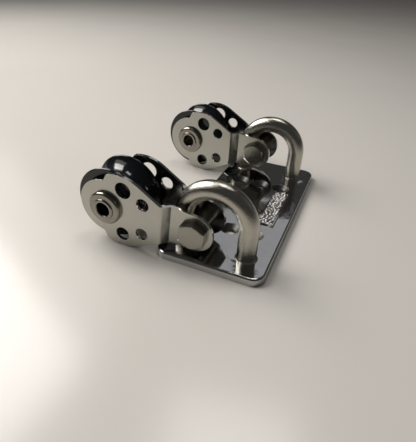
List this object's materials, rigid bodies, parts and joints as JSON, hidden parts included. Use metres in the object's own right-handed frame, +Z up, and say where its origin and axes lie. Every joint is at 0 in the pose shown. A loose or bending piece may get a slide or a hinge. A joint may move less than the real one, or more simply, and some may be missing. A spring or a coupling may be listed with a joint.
{
  "type": "double sheave block",
  "caption": "Twin sheave block: two ball-bearing rope sheaves in steel cheeks, each bolted to a welded bail on one screw-down base plate.",
  "frame": {"origin": "centre of the base plate's underside", "axes": "+Z up out of the plate, +Y along the plate's long side from the front bail to the rear bail, +X away from the blocks"},
  "size_m": [0.0786, 0.1013, 0.0325],
  "materials": {
    "mirror_steel": "mirror-polished stainless steel",
    "cast_steel": "pebbled raised panel in polished steel",
    "polished_steel": "polished stainless rod",
    "cheek_steel": "satin stainless sheet with polished edges",
    "hub_steel": "turned stainless steel",
    "bolt_steel": "turned and tumbled stainless steel",
    "sheave_plastic": "glossy black moulded plastic",
    "ball_plastic": "white acetal",
    "washer_plastic": "dark plastic washer"
  },
  "bodies": {
    "base": {"base_plate": "mirror_steel", "label_plate": "cast_steel", "front_bail": "polished_steel", "front_bail_welds": "polished_steel", "rear_bail": "polished_steel", "rear_bail_welds": "polished_steel"},
    "front_bolt": {"front_bolt": "bolt_steel", "front_lock_washer": "bolt_steel", "front_nut": "bolt_steel"},
    "front_block": {"front_outer_cheek": "cheek_steel", "front_inner_cheek": "cheek_steel", "front_outer_hub_ring": "hub_steel", "front_inner_hub_ring": "hub_steel", "front_hub_rivet": "hub_steel", "front_bearing_hub": "hub_steel", "front_outer_side_washer": "washer_plastic", "front_inner_side_washer": "washer_plastic"},
    "front_sheave": {"front_sheave": "sheave_plastic"},
    "front_balls": {"front_bearing_balls": "ball_plastic"},
    "rear_bolt": {"rear_bolt": "bolt_steel", "rear_lock_washer": "bolt_steel", "rear_nut": "bolt_steel"},
    "rear_block": {"rear_outer_cheek": "cheek_steel", "rear_inner_cheek": "cheek_steel", "rear_outer_hub_ring": "hub_steel", "rear_inner_hub_ring": "hub_steel", "rear_hub_rivet": "hub_steel", "rear_bearing_hub": "hub_steel", "rear_outer_side_washer": "washer_plastic", "rear_inner_side_washer": "washer_plastic"},
    "rear_sheave": {"rear_sheave": "sheave_plastic"},
    "rear_balls": {"rear_bearing_balls": "ball_plastic"}
  },
  "joints": [
    {"name": "front_travel", "type": "hinge", "parent": "base", "child": "front_bolt", "pos_m": [-0.0006, -0.0369, 0.01269], "axis": [0, 1, 0], "range_deg": [0, 90]},
    {"name": "front_pitch", "type": "hinge", "parent": "front_bolt", "child": "front_block", "pos_m": [-0.0066, -0.0369, 0.01269], "axis": [0, 1, 0], "range_deg": [0, 80]},
    {"name": "front_sheave_spin", "type": "hinge", "parent": "front_block", "child": "front_sheave", "pos_m": [-0.04194, -0.0369, 0.0161], "axis": [0, 1, 0], "continuous": true},
    {"name": "front_balls_orbit", "type": "hinge", "parent": "front_block", "child": "front_balls", "pos_m": [-0.04194, -0.0369, 0.0161], "axis": [0, 1, 0], "continuous": true},
    {"name": "rear_travel", "type": "hinge", "parent": "base", "child": "rear_bolt", "pos_m": [-0.0006, 0.0369, 0.01501], "axis": [0, 1, 0], "range_deg": [0, 90]},
    {"name": "rear_pitch", "type": "hinge", "parent": "rear_bolt", "child": "rear_block", "pos_m": [-0.0066, 0.0369, 0.01501], "axis": [0.0698, 0.9976, 0], "range_deg": [0, 80]},
    {"name": "rear_sheave_spin", "type": "hinge", "parent": "rear_block", "child": "rear_sheave", "pos_m": [-0.04201, 0.03938, 0.01562], "axis": [0.0698, 0.9976, 0], "continuous": true},
    {"name": "rear_balls_orbit", "type": "hinge", "parent": "rear_block", "child": "rear_balls", "pos_m": [-0.04201, 0.03938, 0.01562], "axis": [0.0698, 0.9976, 0], "continuous": true}
  ],
  "couplings": [
    {"joint": "front_balls_orbit", "follows": "front_sheave_spin", "ratio": 0.61594},
    {"joint": "rear_balls_orbit", "follows": "rear_sheave_spin", "ratio": 0.61594}
  ]
}
